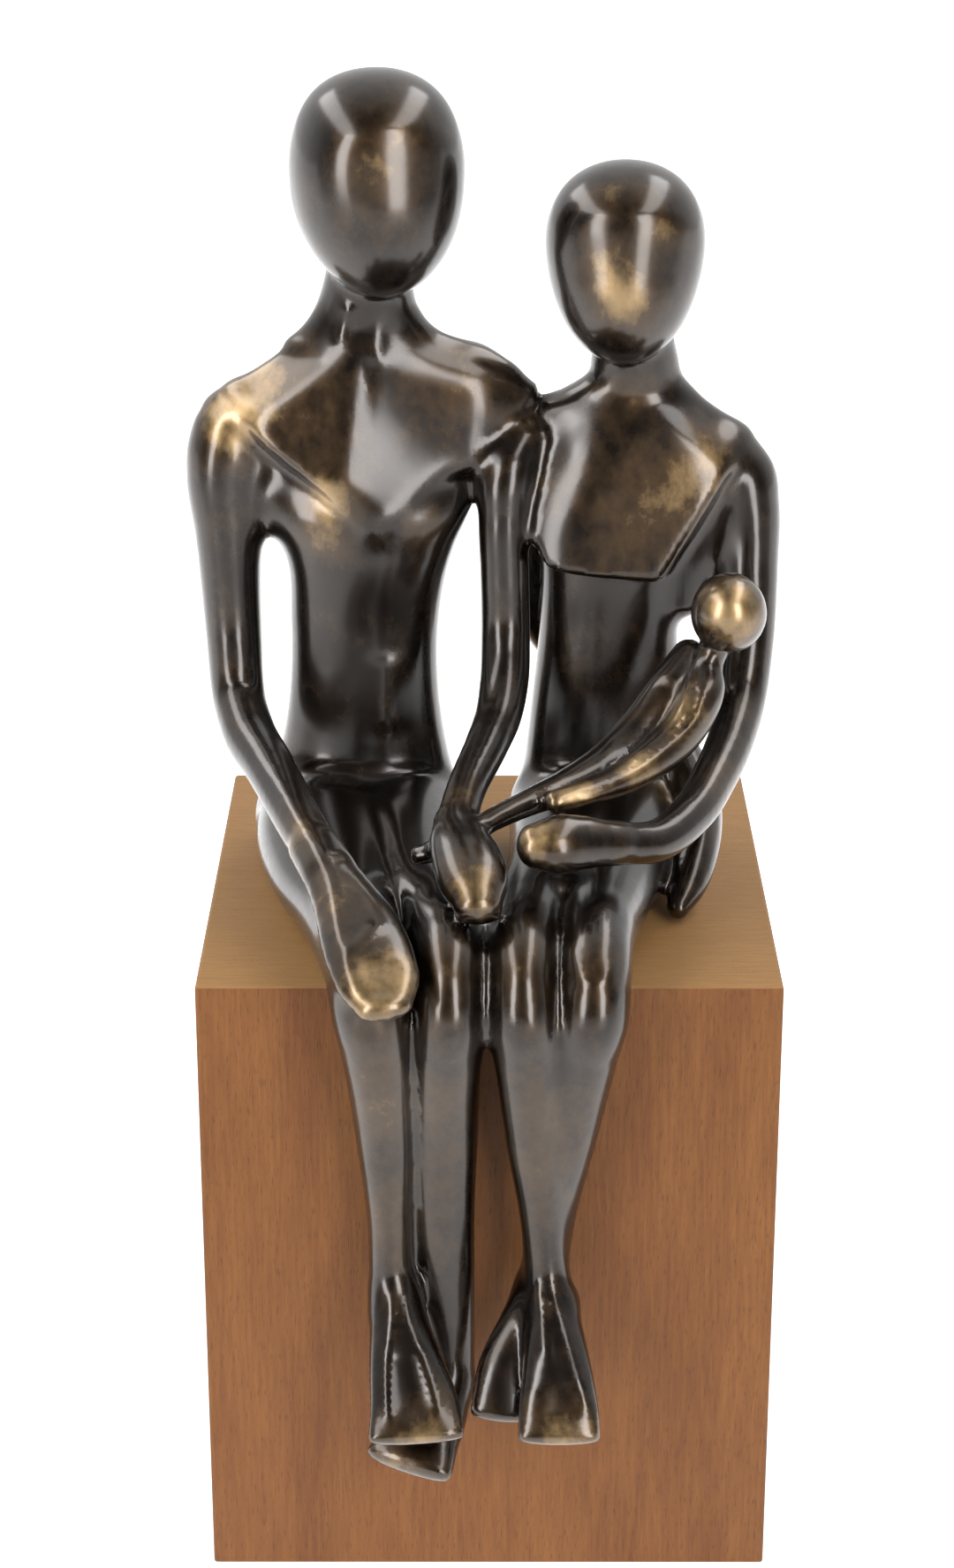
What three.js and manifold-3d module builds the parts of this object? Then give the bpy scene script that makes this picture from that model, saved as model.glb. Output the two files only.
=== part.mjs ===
// A man, a woman and a baby cast in one piece, seated on a wooden block with their legs over its front face.
// Millimetres. X to the viewer's right, Y away from the viewer, Z up, origin at the centre of the block's
// underside. Left and right in the names below are the figures' own.

import * as THREE from 'three';
import { ConvexGeometry } from 'three/addons/geometries/ConvexGeometry.js';
import { mergeVertices } from 'three/addons/utils/BufferGeometryUtils.js';
import Module from 'manifold-3d';

const wasm = await Module();
wasm.setup();

// The block
const BLOCK_WIDTH = 130;
const BLOCK_DEPTH = 130;
const BLOCK_HEIGHT = 150;
const BLOCK_EDGE = 0.8;

// How closely the casting sits on the block, and how far its legs stay off the front face
const SEAT_GAP = 0.02;
const LEG_GAP = 0.3;

// Sides of a section around each kind of body part
const TORSO_SIDES = 20;
const HEAD_SIDES = 18;
const LIMB_SIDES = 12;
const SMALL_SIDES = 10;

const ACROSS = [1, 0, 0];

// Each row is a section: x, y, z, half size along the side direction, half size across it and, where the
// section isn't an ellipse, the power of its superellipse.

const MAN_TORSO = [
  [-30.5, 17.5, 146, 25, 16, 2.3],
  [-30.5, 17.5, 158, 25.2, 16.5, 2.3],
  [-30, 16.5, 172, 21, 15, 2.2],
  [-29.7, 15.5, 187, 18.2, 13, 2.2],
  [-29.2, 15.5, 209, 17.4, 12, 2.2],
  [-28, 14.5, 231, 20, 13.5, 2.3],
  [-28.5, 13.8, 239, 25, 14, 2.3],
  [-28.5, 13.5, 253, 30.5, 12.5, 2.3],
  [-27.6, 13.8, 261, 32.6, 10.5, 2.2],
  [-27.4, 14.2, 267, 27, 9.6, 2.1],
  [-27.2, 14.2, 272, 19.4, 9.5, 2],
  [-27.3, 14, 277, 14.4, 9.4, 2],
  [-27.5, 13.6, 283, 11, 9.3, 2],
  [-27.2, 12.5, 290, 9.7, 9.3, 2],
  [-26.4, 11, 299, 9.2, 9.3, 2],
];

const MAN_RIGHT_ARM = [
  [-57.5, 13, 259, 6.4, 7.5],
  [-60.5, 12.8, 253, 8.6, 9.6],
  [-61.8, 12.5, 245, 8.2, 9.8],
  [-61, 11.5, 232, 7.5, 8.5],
  [-59.9, 9.5, 206, 6.5, 7.4],
  [-59, 6, 193.5, 6.2, 7],
  [-55.8, -5, 187.5, 6.1, 6.3],
  [-50.5, -18.5, 184.5, 5.8, 5.6],
  [-41, -45, 179, 5.4, 5],
  [-35.5, -59, 176, 5.4, 4.6],
];

const MAN_RIGHT_HAND = [
  [-36.5, -57, 176.4, 5.2, 4.6],
  [-31.8, -66.5, 172.5, 6.4, 4.2],
  [-28, -74, 169, 8, 4],
  [-25, -83, 164.5, 8.6, 4],
  [-22.8, -90, 160.5, 7.4, 3.6],
  [-22, -93, 158.3, 5.5, 3],
];

const MAN_LEFT_ARM = [
  [-5, 16, 265, 7.4, 8.2],
  [1.4, 18.5, 258, 7.6, 8.8],
  [4.6, 20.3, 250, 7.4, 8.4],
  [6.8, 22.5, 239, 6.8, 7.5],
  [8.5, 25, 226, 6.2, 6.8],
  [11, 28, 210, 6, 6.3],
  [17, 30, 199, 6, 6],
  [28, 29, 191, 5.8, 5.8],
  [38, 24, 183, 5.5, 5.5],
  [46, 12, 175, 5.3, 5.3],
  [49.5, -2, 169, 5.3, 6],
  [48.5, -14, 162.5, 5.3, 6],
  [45.5, -24, 156, 4.2, 4],
  [43.5, -28.5, 153.2, 2.6, 2.6],
];

const MAN_RIGHT_LEG = [
  [-40.5, 10, 161.5, 14, 11.5],
  [-40.3, -5, 161.5, 14, 11.5],
  [-37.4, -24, 161, 13.4, 11.2],
  [-32.8, -46, 160.8, 10.8, 10.6],
  [-29.2, -63, 160.4, 9.6, 10],
  [-27, -74, 157.5, 8.8, 10],
  [-25.8, -79, 150.5, 8.4, 9],
  [-24.7, -79, 142, 7.7, 8],
  [-23, -75.5, 118, 6.4, 6.8],
  [-22.2, -75.5, 97, 4.9, 5.6],
  [-21.8, -77, 84, 5, 5.4],
  [-21, -79, 77, 5.4, 5.2],
];

const MAN_LEFT_LEG = [
  [-17.5, 10, 161.5, 11.5, 11.5],
  [-16.5, -8, 161.5, 10.6, 11.5],
  [-14.3, -30, 161, 9.6, 11],
  [-11, -54, 160.6, 8.6, 10.4],
  [-9.6, -65, 160.2, 8, 10],
  [-8.8, -74.5, 157, 7.6, 9.8],
  [-8.8, -78.5, 149.5, 7.4, 8.8],
  [-9.4, -77.5, 141, 7.6, 7.8],
  [-10, -73.2, 118, 7.5, 6],
  [-10.2, -72.3, 98, 7, 5.2],
  [-9.6, -72.6, 76, 6.4, 5],
  [-8.6, -76, 56, 5.4, 5],
];

const MAN_FRONT_FOOT = [
  [-21, -77, 81, 5.4, 5.6],
  [-20, -83, 75, 6.8, 5.4],
  [-18.2, -90, 68, 8.6, 4.4],
  [-16.4, -97, 62, 10, 3.2],
  [-16, -102, 58.3, 10.6, 2.2],
];

const MAN_REAR_FOOT = [
  [-8.5, -76, 57, 5.2, 5.4],
  [-12.5, -84, 51.5, 7.5, 5],
  [-16.3, -90, 48.3, 9.6, 3.8],
  [-18, -94, 46.2, 10, 2.8],
];
const MAN_REAR_FOOT_SIDE = [1, 0.25, 0.15];

const WOMAN_TORSO = [
  [28.5, 17.5, 146, 21.5, 15.5, 2.3],
  [28.5, 17.5, 158, 22, 16, 2.3],
  [28, 16.5, 172, 19.5, 14.5, 2.2],
  [28, 15.5, 188, 17.8, 12.5, 2.2],
  [28.5, 15.5, 210, 16.3, 12, 2.2],
  [29.5, 15, 224, 17.2, 12, 2.2],
  [31.5, 14.5, 236, 21, 11.5, 2.2],
  [33, 14.5, 247, 25.5, 11, 2.2],
  [33.4, 15, 253, 23.5, 9.8, 2.2],
  [33.8, 15.3, 258, 18, 9, 2.1],
  [33.8, 15.5, 262.5, 13.4, 8.8, 2],
  [33.6, 15, 268, 10.9, 8.8, 2],
  [32.8, 13.5, 275, 9.6, 8.8, 2],
  [31.6, 11.5, 287, 8.7, 9, 2],
];

const WOMAN_RIGHT_ARM = [
  [7.5, 12, 253, 5.6, 6],
  [4.6, 10.5, 248, 6.8, 7.2],
  [3.4, 8, 236, 5.9, 6.6],
  [3.8, 3.5, 213, 5.7, 6.1],
  [3.6, -2, 199.5, 5.7, 6],
  [2.2, -9, 193.5, 5.4, 5.5],
  [-0.3, -18, 190, 5, 5],
  [-5.2, -34, 184.7, 4.5, 4.5],
  [-7.5, -47, 181.2, 4.6, 4.4],
];

const WOMAN_RIGHT_HAND = [
  [-7.8, -46, 181.5, 4.6, 4.3],
  [-6.6, -53, 180.3, 6.6, 5],
  [-4.6, -61, 177.8, 7.8, 5.6],
  [-3.2, -67, 175, 7.4, 5.6],
  [-2.6, -71, 172.5, 5.4, 4.6],
];

const WOMAN_LEFT_ARM = [
  [55.5, 15, 249.5, 6.6, 7.5],
  [58.8, 14.6, 244, 7.8, 8.6],
  [60.2, 13.5, 237, 7.5, 8.2],
  [60.8, 11, 224, 6.8, 7.2],
  [60.5, 6, 206, 6.2, 6.6],
  [59, 0, 194.5, 5.8, 6.2],
  [55.6, -12, 187.7, 5.4, 5.6],
  [51.6, -23, 183.8, 5.2, 5.2],
  [45.6, -37, 180.2, 4.9, 4.9],
  [36.5, -48.5, 178, 4.7, 4.7],
  [26.5, -54.2, 180, 4.7, 4.7],
];

// The web that joins her left upper arm to her side, behind the baby's head
const WOMAN_ARMPIT = [
  [50, 14, 240, 8, 7],
  [48, 13, 226, 6.5, 6],
  [46.5, 12, 214.5, 3.5, 4],
];

const WOMAN_LEFT_HAND = [
  [27.5, -54, 180, 4.6, 4.7],
  [20, -57.5, 181.5, 5.2, 6],
  [13.8, -60, 182, 5.6, 6.4],
  [10, -60.5, 182, 4.6, 5],
];
const WOMAN_LEFT_HAND_SIDE = [0, -1, 0.4];

const WOMAN_RIGHT_LEG = [
  [17, 10, 161.5, 11.5, 11.5],
  [16, -6, 161.5, 10.8, 11.5],
  [13, -30, 161, 9.4, 11],
  [9, -54, 160.8, 8.5, 10.4],
  [7.8, -65, 160.4, 7.8, 10],
  [7.2, -74.5, 157.4, 7.4, 9.8],
  [7.4, -79, 150, 7.4, 8.8],
  [8.4, -78.5, 141.5, 7.5, 7.9],
  [10.3, -76, 118, 6.6, 6.8],
  [12, -76.5, 97, 4.9, 5.4],
  [13, -78, 86, 5, 5.2],
  [14, -80, 79, 5.8, 5.2],
];

const WOMAN_LEFT_LEG = [
  [35, 10, 161.5, 12, 11.5],
  [33.2, -6, 161.5, 11.3, 11.5],
  [28.6, -30, 161, 10.2, 11],
  [24.6, -54, 160.6, 8.9, 10.4],
  [23.6, -65, 160.2, 8.3, 10],
  [23, -74.5, 156.6, 7.9, 9.8],
  [22.4, -78.3, 149, 7.8, 8.8],
  [21, -77.2, 141, 7.4, 7.8],
  [18, -73, 118, 6, 6.5],
  [15.4, -72, 102, 5, 5.3],
  [13.4, -72, 90, 4.8, 5],
  [10.5, -73.5, 78, 5, 5.2],
];

const WOMAN_FRONT_FOOT = [
  [14, -80, 80, 5.6, 5.2],
  [14.6, -87, 74, 6.8, 4.8],
  [15.2, -94, 66.5, 8.2, 4],
  [15.4, -99.5, 60.5, 9, 3],
  [15.4, -102, 58, 9, 2.2],
];

const WOMAN_REAR_FOOT = [
  [10.8, -74.5, 80, 4.8, 5],
  [7, -80, 73, 5.2, 5],
  [3.6, -86, 66.5, 6, 4],
  [2.2, -93, 58.5, 6.5, 2.6],
];

const BABY_BODY = [
  [52, -14, 213, 3.4, 3.4],
  [49.8, -15.5, 208.5, 3.8, 3.6],
  [48.2, -18, 203.5, 6.4, 5],
  [46.4, -21, 199.3, 6.8, 5.4],
  [42, -27, 194.2, 5.4, 5],
  [36, -33, 191, 4.2, 4.4],
  [28.8, -38.5, 188.8, 3.3, 3.8],
  [20.5, -43, 187.4, 2.8, 3.2],
  [14.5, -46, 186.6, 2.6, 2.8],
];

// The baby's back and wrapped legs, which lie against her and run under her right hand to the man's thigh
const BABY_BACK = [
  [46, -9, 208, 6, 4],
  [41, -14, 201.5, 6.6, 5],
  [35, -20, 194, 6.4, 5.5],
  [27, -28, 189, 5, 5],
  [18, -35, 186.2, 4, 4],
  [8.5, -43, 185, 3, 3],
  [-1.7, -50, 182.4, 2.5, 2.5],
  [-9, -53, 178.4, 2.4, 2.4],
  [-15.5, -52, 176.2, 2.2, 2.2],
];
const BABY_SIDE = [0.55, 0, 0.83];

// Heads: middle, half width, half depth, half height, how the width grows from chin to crown (linear and
// cubic share), the way the face looks and how far the chin comes forward
const MAN_HEAD = {
  middle: [-25, 6, 314.3], half: [19.3, 21, 24.8], growth: [0.09, 0.2], face: [0.28, -1, -0.1], chin: 5,
};
const WOMAN_HEAD = {
  middle: [30.4, 6, 296.4], half: [17.6, 19, 22.4], growth: [0.19, 0.07], face: [-0.03, -1, -0.1], chin: 4,
};
const BABY_HEAD = {
  middle: [54.4, -14, 219.9], half: [8.6, 8.8, 9.2], growth: [0, 0], face: [0, -1, 0], chin: 0,
};

// Faceted chests: each face is its outward direction and a point on it
const MAN_CHEST = [
  [[0, -1, 0.12], [-26, -2.2, 240]],
  [[-0.5, -0.85, 0.164], [-32.3, -2.2, 240]],
  [[0.5, -0.85, 0.344], [-10.8, -2.2, 240]],
  [[0, -0.5, -0.86], [-26, -2.2, 239]],
  [[0, -0.9, 0.43], [-26, 0.6, 262]],
  [[-1, 0, -0.3], [-46, 0, 245]],
  [[1, 0, -0.3], [-9, 0, 245]],
  [[-0.5, 0, 0.87], [-44, 8, 266]],
  [[0.5, 0, 0.87], [-11, 8, 266]],
  [[0, 1, 0], [-26, 8, 250]],
];

const WOMAN_CHEST = [
  [[0, -1, 0.14], [28, -2.5, 228]],
  [[-0.45, -0.87, 0.15], [17.5, -2.5, 230]],
  [[0.86, -0.1, -0.51], [40.4, 0, 223.7]],
  [[0.4, -0.9, 0.2], [47, 0, 245]],
  [[-0.1, 0.1, -0.99], [27, 0, 224.6]],
  [[-0.89, 0, -0.45], [13.5, 0, 226.4]],
  [[0, -0.857, 0.514], [30, 1.2, 253]],
  [[-0.3, -0.3, 0.9], [6, 8, 254.5]],
  [[-1, 0, 0], [4, 0, 250]],
  [[0.75, -0.2, 0.6], [57, 4, 249]],
  [[0, 1, 0], [30, 16, 240]],
];

// Section directions along a path: tangent, then the side direction squared up to it
function frames(rows, side) {
  return rows.map((row, i) => {
    const before = rows[Math.max(i - 1, 0)];
    const after = rows[Math.min(i + 1, rows.length - 1)];
    const tangent = new THREE.Vector3(after[0] - before[0], after[1] - before[1], after[2] - before[2]).normalize();
    const across = new THREE.Vector3(...side);
    across.addScaledVector(tangent, -across.dot(tangent)).normalize();
    const through = new THREE.Vector3().crossVectors(tangent, across);
    return { middle: new THREE.Vector3(row[0], row[1], row[2]), tangent, across, through };
  });
}

// One ring of points of a superellipse
function ring(middle, across, through, halfSide, halfDepth, power, sides) {
  const points = [];
  for (let k = 0; k < sides; k += 1) {
    const angle = (k / sides) * 2 * Math.PI;
    const c = Math.cos(angle);
    const s = Math.sin(angle);
    const u = Math.sign(c) * Math.abs(c) ** (2 / power) * halfSide;
    const v = Math.sign(s) * Math.abs(s) ** (2 / power) * halfDepth;
    points.push(middle.clone().addScaledVector(across, u).addScaledVector(through, v));
  }
  return points;
}

// A closed skin over rings, ending in a point at both ends
function skin(first, rings, last) {
  const sides = rings[0].length;
  const points = [first, ...rings.flat(), last];
  const end = points.length - 1;
  const index = [];
  for (let k = 0; k < sides; k += 1) {
    const next = (k + 1) % sides;
    index.push(0, 1 + next, 1 + k);
    for (let r = 0; r < rings.length - 1; r += 1) {
      const low = 1 + r * sides;
      const high = low + sides;
      index.push(low + k, low + next, high + next, low + k, high + next, high + k);
    }
    index.push(end, end - sides + k, end - sides + next);
  }
  const geometry = new THREE.BufferGeometry().setFromPoints(points);
  geometry.setIndex(index);
  return geometry;
}

// A limb: sections along a path with rounded ends
function limb(rows, { side = ACROSS, sides = LIMB_SIDES, round = 0.8 } = {}) {
  const path = frames(rows, side);
  const rings = [];
  const cap = (i, sign) => {
    const [, , , a, b, power = 2] = rows[i];
    const reach = Math.min(a, b) * round;
    const { middle, tangent, across, through } = path[i];
    const ease = middle.clone().addScaledVector(tangent, sign * reach * Math.SQRT1_2);
    return {
      ring: ring(ease, across, through, a * Math.SQRT1_2, b * Math.SQRT1_2, power, sides),
      tip: middle.clone().addScaledVector(tangent, sign * reach),
    };
  };
  const start = cap(0, -1);
  const finish = cap(rows.length - 1, 1);
  rings.push(start.ring);
  rows.forEach(([, , , a, b, power = 2], i) => {
    rings.push(ring(path[i].middle, path[i].across, path[i].through, a, b, power, sides));
  });
  rings.push(finish.ring);
  return skin(start.tip, rings, finish.tip);
}

// A head: an egg whose width changes with height and whose chin comes forward
function head({ middle, half, growth, face, chin }, sides = HEAD_SIDES, levels = 12) {
  const [halfWidth, halfDepth, halfHeight] = half;
  const up = new THREE.Vector3(0, -0.04, 1).normalize();
  const forward = new THREE.Vector3(...face);
  forward.addScaledVector(up, -forward.dot(up)).normalize();
  const across = new THREE.Vector3().crossVectors(forward, up);
  const centre = new THREE.Vector3(...middle);
  const place = (height) => {
    const advance = chin * Math.max(-height, 0) ** 2;
    return centre.clone().addScaledVector(up, height * halfHeight).addScaledVector(forward, advance);
  };
  const rings = [];
  for (let level = 1; level < levels; level += 1) {
    const height = -Math.cos((level / levels) * Math.PI);
    const full = Math.sqrt(1 - height * height);
    const wide = 1 + growth[0] * height + growth[1] * height ** 3;
    const deep = 1 + 0.1 * height + 0.1 * height ** 3;
    rings.push(ring(place(height), across, forward, halfWidth * full * wide,
      halfDepth * full * deep, 2.1, sides));
  }
  return skin(place(-1), rings, place(1));
}

// A convex lump bounded by flat faces
function faceted(faces) {
  const planes = faces.map(([direction, point]) => {
    const normal = new THREE.Vector3(...direction).normalize();
    return { normal, reach: normal.dot(new THREE.Vector3(...point)) };
  });
  const corners = [];
  for (let i = 0; i < planes.length; i += 1) {
    for (let j = i + 1; j < planes.length; j += 1) {
      for (let k = j + 1; k < planes.length; k += 1) {
        const corner = meet(planes[i], planes[j], planes[k]);
        if (corner && planes.every(({ normal, reach }) => normal.dot(corner) < reach + 1e-6)) {
          corners.push(corner);
        }
      }
    }
  }
  return new ConvexGeometry(corners);
}

// The point where three planes meet, or null where they don't
function meet(a, b, c) {
  const bc = new THREE.Vector3().crossVectors(b.normal, c.normal);
  const ca = new THREE.Vector3().crossVectors(c.normal, a.normal);
  const ab = new THREE.Vector3().crossVectors(a.normal, b.normal);
  const volume = a.normal.dot(bc);
  if (Math.abs(volume) < 1e-6) {
    return null;
  }
  return bc.multiplyScalar(a.reach).addScaledVector(ca, b.reach).addScaledVector(ab, c.reach)
    .divideScalar(volume);
}

// A box whose edges are broken by a small flat
function easedBox(width, depth, height, edge) {
  const corners = [];
  for (const x of [-1, 1]) {
    for (const y of [-1, 1]) {
      for (const z of [-1, 1]) {
        for (let flush = 0; flush < 3; flush += 1) {
          const pull = [edge, edge, edge];
          pull[flush] = 0;
          corners.push(new THREE.Vector3(x * (width / 2 - pull[0]), y * (depth / 2 - pull[1]),
            z * (height / 2 - pull[2])));
        }
      }
    }
  }
  return new ConvexGeometry(corners);
}

function toSolid(geometry) {
  const bare = geometry.clone();
  bare.deleteAttribute('normal');
  bare.deleteAttribute('uv');
  const merged = mergeVertices(bare, 1e-4);
  return new wasm.Manifold(new wasm.Mesh({
    numProp: 3,
    vertProperties: new Float32Array(merged.attributes.position.array),
    triVerts: new Uint32Array(merged.index.array),
  }));
}

function toGeometry(solid) {
  const mesh = solid.getMesh();
  const geometry = new THREE.BufferGeometry();
  geometry.setAttribute('position', new THREE.BufferAttribute(new Float32Array(mesh.vertProperties), 3));
  geometry.setIndex(new THREE.BufferAttribute(new Uint32Array(mesh.triVerts), 1));
  geometry.computeVertexNormals();
  return geometry;
}

// The space that the casting keeps out of: the block, and a little in front of it
function blockSpace() {
  const depth = BLOCK_DEPTH + LEG_GAP;
  const height = BLOCK_HEIGHT + SEAT_GAP;
  const space = new THREE.BoxGeometry(BLOCK_WIDTH + 40, depth, height);
  space.translate(0, -LEG_GAP / 2, height / 2);
  return toSolid(space);
}

function familySolid() {
  const torso = { sides: TORSO_SIDES };
  const small = { sides: SMALL_SIDES };
  const pieces = [
    limb(MAN_TORSO, torso),
    head(MAN_HEAD),
    faceted(MAN_CHEST),
    limb(MAN_RIGHT_ARM),
    limb(MAN_RIGHT_HAND),
    limb(MAN_LEFT_ARM),
    limb(MAN_RIGHT_LEG),
    limb(MAN_LEFT_LEG),
    limb(MAN_FRONT_FOOT, { round: 0.5 }),
    limb(MAN_REAR_FOOT, { side: MAN_REAR_FOOT_SIDE, round: 0.5 }),
    limb(WOMAN_TORSO, torso),
    head(WOMAN_HEAD),
    faceted(WOMAN_CHEST),
    limb(WOMAN_RIGHT_ARM),
    limb(WOMAN_RIGHT_HAND),
    limb(WOMAN_LEFT_ARM),
    limb(WOMAN_ARMPIT),
    limb(WOMAN_LEFT_HAND, { side: WOMAN_LEFT_HAND_SIDE }),
    limb(WOMAN_RIGHT_LEG),
    limb(WOMAN_LEFT_LEG),
    limb(WOMAN_FRONT_FOOT, { round: 0.5 }),
    limb(WOMAN_REAR_FOOT, { round: 0.5 }),
    limb(BABY_BODY, { side: BABY_SIDE, ...small }),
    limb(BABY_BACK, { side: BABY_SIDE, ...small }),
    head(BABY_HEAD, 14, 8),
  ];
  const joined = pieces.map(toSolid).reduce((all, piece) => all.add(piece));
  return outerShell(joined.subtract(blockSpace()));
}

// The largest closed skin, so that no pocket sealed between the joined parts is left inside
function outerShell(solid) {
  const shells = solid.decompose();
  shells.sort((a, b) => b.volume() - a.volume());
  return shells[0];
}

const bronze = new THREE.MeshStandardMaterial({ color: 0x3b2f24, metalness: 0.9, roughness: 0.35 });
const wood = new THREE.MeshStandardMaterial({ color: 0xb4713f, metalness: 0, roughness: 0.6 });

const group = new THREE.Group();

const family = new THREE.Mesh(toGeometry(familySolid()), bronze);
family.name = 'family_group';
group.add(family);

const block = new THREE.Mesh(easedBox(BLOCK_WIDTH, BLOCK_DEPTH, BLOCK_HEIGHT, BLOCK_EDGE), wood);
block.name = 'wood_block';
block.position.z = BLOCK_HEIGHT / 2;
group.add(block);

export default group;
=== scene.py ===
"""A man, a woman and a baby in dark rubbed bronze, seated on a wooden block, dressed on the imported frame.

The casting is worked out in millimetres in the row frame: X to the viewer's right, Y away from the viewer, Z up,
origin at the centre of the block's underside. Left and right in names are the figures' own. It is one distance
field, joined from sections along limbs, and its skin is meshed and turned to metres at the end.
"""

import math

import bmesh
import bpy
import numpy as np
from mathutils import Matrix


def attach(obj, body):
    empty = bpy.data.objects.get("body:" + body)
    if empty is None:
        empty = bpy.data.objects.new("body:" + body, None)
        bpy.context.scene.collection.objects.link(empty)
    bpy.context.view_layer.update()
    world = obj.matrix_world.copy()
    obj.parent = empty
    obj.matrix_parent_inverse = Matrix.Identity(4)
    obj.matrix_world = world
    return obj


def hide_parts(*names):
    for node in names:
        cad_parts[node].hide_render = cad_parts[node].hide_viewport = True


MM = 0.001

# The block, and how closely the casting sits on it
BLOCK_WIDTH = 130.0
BLOCK_DEPTH = 130.0
BLOCK_HEIGHT = 150.0
SEAT_GAP = 0.1
LEG_GAP = 0.35

# Size of the cells that the casting's skin is meshed in
FINE_CELL = 1.3

FAR = 60.0
ACROSS = (1, 0, 0)

# Each row is a section: x, y, z, half size along the side direction, half size across it and, where the
# section isn't an ellipse, the power of its superellipse.

MAN_TORSO = [
    (-30.5, 17.5, 146, 25, 16, 2.3),
    (-30.5, 17.5, 158, 25.2, 16.5, 2.3),
    (-30, 16.5, 172, 21, 15, 2.2),
    (-29.7, 15.5, 187, 18.2, 13, 2.2),
    (-29.2, 15, 209, 17.4, 12.6, 2.2),
    (-28, 13.6, 228, 20, 14.2, 2.3),
    (-28.3, 13, 237, 24, 14.6, 2.3),
    (-27.5, 14.5, 248, 27, 12, 2.3),
    (-22.5, 15.2, 257, 27.5, 9.2, 2.3),
    (-20, 15, 262, 28, 8.6, 2.2),
    (-19.8, 14.8, 266, 26.2, 7.7, 2.1),
    (-21.2, 14.4, 270, 24.7, 7.5, 2.1),
    (-24.4, 14, 274, 21.4, 7.9, 2),
    (-26.7, 13.8, 276.3, 18.9, 8.2, 2),
    (-27.4, 13.8, 278.4, 16, 8.6, 2),
    (-27.9, 13.2, 284, 11.9, 9.2, 2),
    (-27.5, 12.4, 290, 10.2, 9.4, 2),
    (-26.4, 11, 299, 9.8, 9.4, 2),
]

MAN_RIGHT_ARM = [
    (-56.5, 13.4, 262, 5, 6.2),
    (-59.4, 13, 257.5, 7.6, 8.6),
    (-61, 12.8, 251.5, 8.6, 9.5),
    (-61.8, 12.5, 245, 8.3, 9.6),
    (-61, 11.5, 232, 7.5, 8.5),
    (-59.9, 9.5, 206, 6.5, 7.4),
    (-59, 6, 193.5, 6.2, 7),
    (-55.8, -5, 187.5, 6.1, 6.3),
    (-50.5, -18.5, 184.5, 5.8, 5.6),
    (-41, -45, 179, 5.4, 5),
    (-35.5, -59, 176, 5.4, 4.6),
]

MAN_RIGHT_HAND = [
    (-38.5, -52, 177.6, 5.4, 4.7),
    (-35.2, -59.5, 175.4, 6, 4.6),
    (-31.8, -66.5, 172.5, 7.1, 4.4),
    (-28.4, -74, 169, 8.6, 4.2),
    (-25.2, -83, 164.5, 9.4, 4),
    (-23, -90, 160.5, 8.2, 3.6),
    (-22.2, -93.2, 158.3, 6, 3),
]

MAN_LEFT_ARM = [
    (-5, 16, 265, 7.4, 8.2),
    (1.4, 18.5, 258, 7.6, 8.8),
    (4.6, 20.3, 250, 7.4, 8.4),
    (6.8, 22.5, 239, 6.8, 7.5),
    (8.5, 25, 226, 6.2, 6.8),
    (11, 28, 210, 6, 6.3),
    (17, 30, 199, 6, 6),
    (28, 29, 191, 5.8, 5.8),
    (38, 24, 183, 5.5, 5.5),
    (46, 12, 175, 5.3, 5.3),
    (49.5, -2, 169, 5.3, 6),
    (48.5, -14, 162.5, 5.3, 6),
    (45.5, -24, 156, 4.2, 4),
    (43.5, -28.5, 153.2, 2.6, 2.6),
]

MAN_RIGHT_LEG = [
    (-40.5, 10, 161.5, 14, 11.5),
    (-40.3, -5, 161.5, 14, 11.5),
    (-37.4, -24, 161, 13.4, 11.2),
    (-32.8, -46, 160.8, 10.8, 10.6),
    (-29.2, -63, 160.4, 9.6, 10),
    (-27, -74, 157.5, 8.8, 10),
    (-25.8, -79, 150.5, 8.4, 9),
    (-24.7, -79, 142, 7.7, 8),
    (-23, -75.5, 118, 6.4, 6.8),
    (-22.2, -75.5, 97, 4.9, 5.6),
    (-21.8, -77, 84, 5, 5.4),
    (-21, -79, 77, 5.4, 5.2),
]

MAN_LEFT_LEG = [
    (-17.5, 10, 161.5, 11.5, 11.5),
    (-16.5, -8, 161.5, 10.6, 11.5),
    (-14.3, -30, 161, 9.6, 11),
    (-11, -54, 160.6, 8.6, 10.4),
    (-9.6, -65, 160.2, 8, 10),
    (-8.8, -74.5, 157, 7.6, 9.8),
    (-8.8, -78.5, 149.5, 7.4, 8.8),
    (-9.4, -77.5, 141, 7.6, 7.8),
    (-10, -73.2, 118, 7.5, 6),
    (-10.2, -72.3, 98, 7, 5.2),
    (-9.6, -72.6, 76, 6.4, 5),
    (-8.6, -76, 56, 5.4, 5),
]

MAN_LAP = [
    (-30, 10, 160.5, 22, 11.5, 2.6),
    (-29, -10, 160.5, 20, 11.2, 2.6),
    (-26, -30, 160.3, 16, 10.6, 2.5),
    (-22, -46, 160, 12, 9.6, 2.4),
]

MAN_FRONT_FOOT = [
    (-21, -77, 81, 5.4, 5.6),
    (-20, -83, 75, 6.8, 5.4),
    (-18.2, -90, 68, 8.6, 4.4, 2.2),
    (-16.4, -97, 62, 10, 3.2, 2.6),
    (-16, -102, 58.3, 10.6, 2.2, 2.8),
]

MAN_REAR_FOOT = [
    (-8.5, -76, 57, 5.2, 5.4),
    (-12.5, -84, 51.5, 7.5, 5),
    (-16.3, -90, 48.3, 9.6, 3.8, 2.3),
    (-18, -94, 46.2, 10, 2.8, 2.5),
]

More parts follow.
